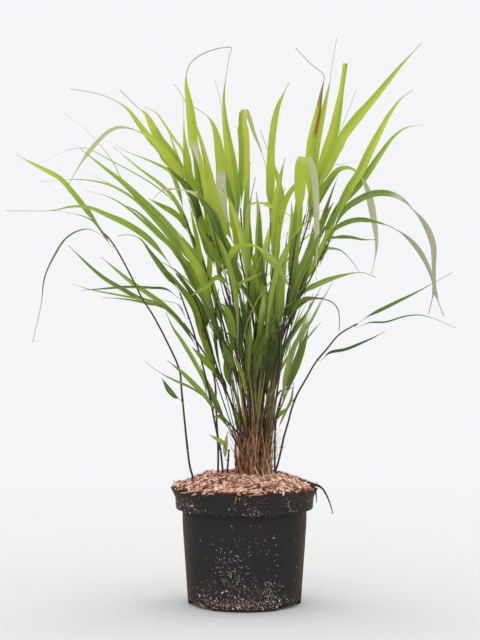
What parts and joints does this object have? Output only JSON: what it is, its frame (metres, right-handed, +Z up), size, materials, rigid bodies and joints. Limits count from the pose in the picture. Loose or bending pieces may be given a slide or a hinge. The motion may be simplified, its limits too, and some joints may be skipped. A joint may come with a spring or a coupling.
{
  "type": "potted japanese forest grass",
  "caption": "Clump of arching bamboo-like grass shoots with long tapering blades, rising through bark mulch in a round tapered nursery pot.",
  "frame": {"origin": "on the pot's axis, on the underside of its floor, which is the face that the pot stands on", "axes": "+Z up along the pot's axis, -Y towards the picture's viewer, +X to the viewer's right"},
  "size_m": [0.5613, 0.3797, 0.7304],
  "materials": {
    "pot_plastic": "matte",
    "soil": "matte",
    "bark": "matte",
    "old_sheaths": "matte",
    "dry_leaf": "matte",
    "leaf": "satin"
  },
  "bodies": {
    "root": {"bark_mulch": "bark", "crown_of_sheaths": "old_sheaths", "dried_strand": "dry_leaf", "nursery_pot": "pot_plastic", "potting_soil": "soil", "shoot_back_1": "leaf", "shoot_back_2": "leaf", "shoot_back_3": "leaf", "shoot_back_4": "leaf", "shoot_back_5": "leaf", "shoot_centre": "leaf", "shoot_far_left": "leaf", "shoot_far_right": "leaf", "shoot_folded_right": "leaf", "shoot_front_1": "leaf", "shoot_front_2": "leaf", "shoot_front_3": "leaf", "shoot_front_arch": "leaf", "shoot_inner_1": "leaf", "shoot_inner_2": "leaf", "shoot_left_broad": "leaf", "shoot_left_dark": "leaf", "shoot_left_fan": "leaf", "shoot_left_inner": "leaf", "shoot_left_thin": "leaf", "shoot_left_upper": "leaf", "shoot_left_wide": "leaf", "shoot_low_left": "leaf", "shoot_low_right": "leaf", "shoot_low_right_back": "leaf", "shoot_right_black": "leaf", "shoot_right_spray": "leaf", "shoot_right_upper": "leaf", "shoot_tall_left": "leaf", "shoot_tall_middle": "leaf", "shoot_top_left": "leaf", "shoot_top_left_back": "leaf", "shoot_top_right": "leaf", "shoot_top_right_back": "leaf", "shoot_upright_right": "leaf"}
  },
  "joints": []
}
